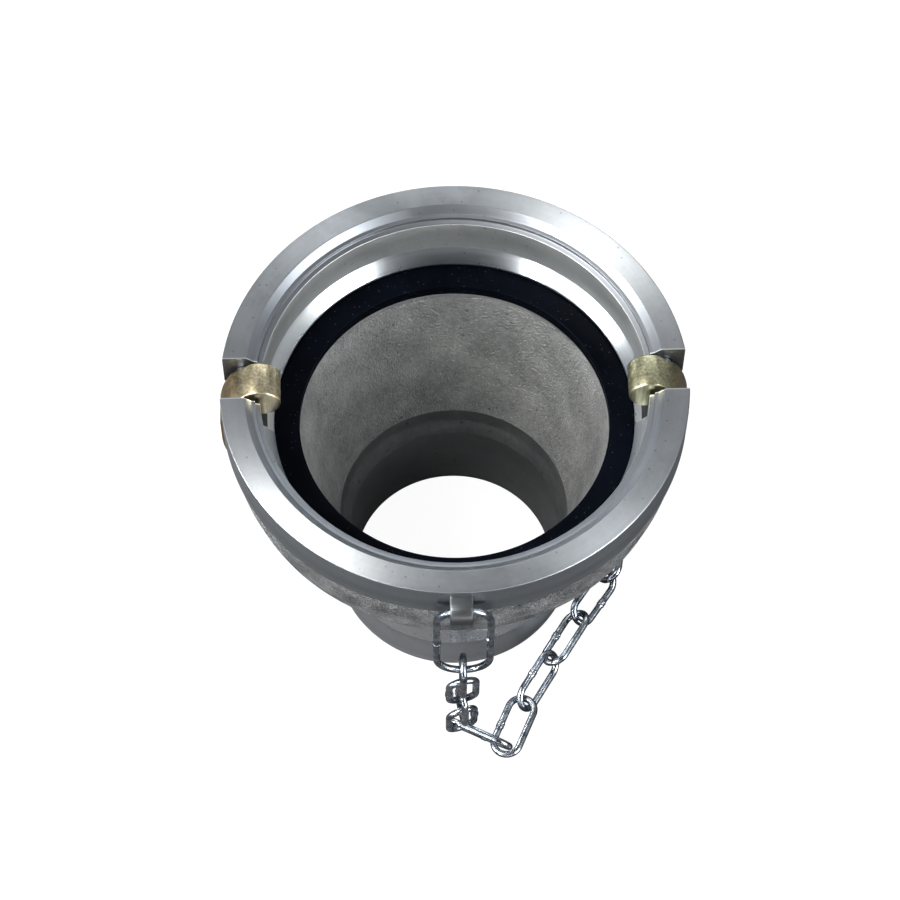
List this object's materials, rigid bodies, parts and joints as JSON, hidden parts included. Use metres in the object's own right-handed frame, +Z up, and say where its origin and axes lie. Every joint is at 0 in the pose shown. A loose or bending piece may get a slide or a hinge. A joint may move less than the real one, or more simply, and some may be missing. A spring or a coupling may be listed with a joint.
{
  "type": "camlock coupling",
  "caption": "Cast reducing hose coupling that clamps a grooved adapter on a face seal with two pivoting cam arms, with pull rings and a retaining chain.",
  "frame": {"origin": "centre of the bounding box at the level the coupling stands on", "axes": "+Z up along the coupling axis, out of the socket mouth; +X to the right hand cam arm; -Y to the chain ear"},
  "size_m": [0.154, 0.1598, 0.13],
  "materials": {
    "cast_aluminium": "sand cast with turned faces and bores",
    "nitrile": "smooth black moulded rubber",
    "brass": "cast brass with ground edges",
    "pin_steel": "drawn steel pin",
    "ring_steel": "bright drawn wire",
    "zinc_chain": "bright zinc plated welded wire"
  },
  "bodies": {
    "coupling": {"coupling_body": "cast_aluminium", "face_seal": "nitrile", "pivot_pin_left": "pin_steel", "pivot_pin_right": "pin_steel"},
    "cam_arm_left": {"cam_arm_left": "brass"},
    "cam_arm_right": {"cam_arm_right": "brass"},
    "pull_ring_left": {"pull_ring_left": "ring_steel"},
    "pull_ring_right": {"pull_ring_right": "ring_steel"},
    "chain_shackle": {"chain_shackle_link": "zinc_chain"},
    "link_01": {"chain_link_01": "zinc_chain"},
    "link_02": {"chain_link_02": "zinc_chain"},
    "link_03": {"chain_link_03": "zinc_chain"},
    "link_04": {"chain_link_04": "zinc_chain"},
    "link_05": {"chain_link_05": "zinc_chain"},
    "link_06": {"chain_link_06": "zinc_chain"},
    "link_07": {"chain_link_07": "zinc_chain"},
    "link_08": {"chain_link_08": "zinc_chain"},
    "link_09": {"chain_link_09": "zinc_chain"},
    "link_10": {"chain_link_10": "zinc_chain"},
    "link_11": {"chain_link_11": "zinc_chain"},
    "end_ring": {"chain_end_ring": "zinc_chain"}
  },
  "joints": [
    {"name": "cam_arm_left_hinge", "type": "hinge", "parent": "coupling", "child": "cam_arm_left", "pos_m": [-0.0685, 0.0069, 0.1225], "axis": [0, 1, 0], "range_deg": [0, 110]},
    {"name": "cam_arm_right_hinge", "type": "hinge", "parent": "coupling", "child": "cam_arm_right", "pos_m": [0.0685, 0.0069, 0.1225], "axis": [0, -1, 0], "range_deg": [0, 110]},
    {"name": "pull_ring_left_hinge", "type": "hinge", "parent": "cam_arm_left", "child": "pull_ring_left", "pos_m": [-0.0565, 0.0069, 0.043], "axis": [1, 0, 0], "range_deg": [-60, 70]},
    {"name": "pull_ring_right_hinge", "type": "hinge", "parent": "cam_arm_right", "child": "pull_ring_right", "pos_m": [0.0565, 0.0069, 0.043], "axis": [1, 0, 0], "range_deg": [-60, 70]},
    {"name": "chain_shackle_hinge", "type": "hinge", "parent": "coupling", "child": "chain_shackle", "pos_m": [0, -0.0746, 0.1226], "axis": [-1, 0, 0], "range_deg": [0, 100]},
    {"name": "link_01_hinge", "type": "hinge", "parent": "chain_shackle", "child": "link_01", "pos_m": [0.0008, -0.0746, 0.07977], "axis": [0, -1, 0], "range_deg": [0, 16]},
    {"name": "link_02_hinge", "type": "hinge", "parent": "link_01", "child": "link_02", "pos_m": [0.00085, -0.0716, 0.06123], "axis": [0, -0.9872, -0.1597], "range_deg": [0, 9]},
    {"name": "link_03_hinge", "type": "hinge", "parent": "link_02", "child": "link_03", "pos_m": [0.0009, -0.0686, 0.04269], "axis": [0, -1, 0], "range_deg": [0, 14]},
    {"name": "link_04_hinge", "type": "hinge", "parent": "link_03", "child": "link_04", "pos_m": [0.00095, -0.0656, 0.02414], "axis": [0.2079, -0.9657, -0.1557], "range_deg": [0, 12]},
    {"name": "link_05_hinge", "type": "hinge", "parent": "link_04", "child": "link_05", "pos_m": [0.001, -0.0626, 0.0056], "axis": [0.1403, 0.2753, -0.9511], "range_deg": [0, 6]},
    {"name": "link_06_hinge", "type": "hinge", "parent": "link_05", "child": "link_06", "pos_m": [0.01615, -0.07032, 0.0056], "axis": [0.1403, 0.2753, -0.9511], "range_deg": [0, 6]},
    {"name": "link_07_hinge", "type": "hinge", "parent": "link_06", "child": "link_07", "pos_m": [0.02322, -0.05442, 0.0056], "axis": [0.9085, -0.4045, 0.1045], "range_deg": [0, 9]},
    {"name": "link_08_hinge", "type": "hinge", "parent": "link_07", "child": "link_08", "pos_m": [0.03351, -0.03797, 0.0056], "axis": [0.424, -0.265, -0.866], "range_deg": [0, 14]},
    {"name": "link_09_hinge", "type": "hinge", "parent": "link_08", "child": "link_09", "pos_m": [0.04393, -0.02161, 0.0056], "axis": [0.6823, -0.4347, 0.5878], "range_deg": [0, 14]},
    {"name": "link_10_hinge", "type": "hinge", "parent": "link_09", "child": "link_10", "pos_m": [0.05506, -0.00572, 0.0056], "axis": [0.5481, -0.3838, -0.7431], "range_deg": [0, 14]},
    {"name": "link_11_hinge", "type": "hinge", "parent": "link_10", "child": "link_11", "pos_m": [0.05842, 0.01339, 0.0056], "axis": [0.7319, 0.129, -0.6691], "range_deg": [0, 12]},
    {"name": "end_ring_hinge", "type": "hinge", "parent": "link_11", "child": "end_ring", "pos_m": [0.05506, 0.03249, 0.0056], "axis": [0.7319, 0.129, -0.6691], "range_deg": [0, 20]}
  ]
}
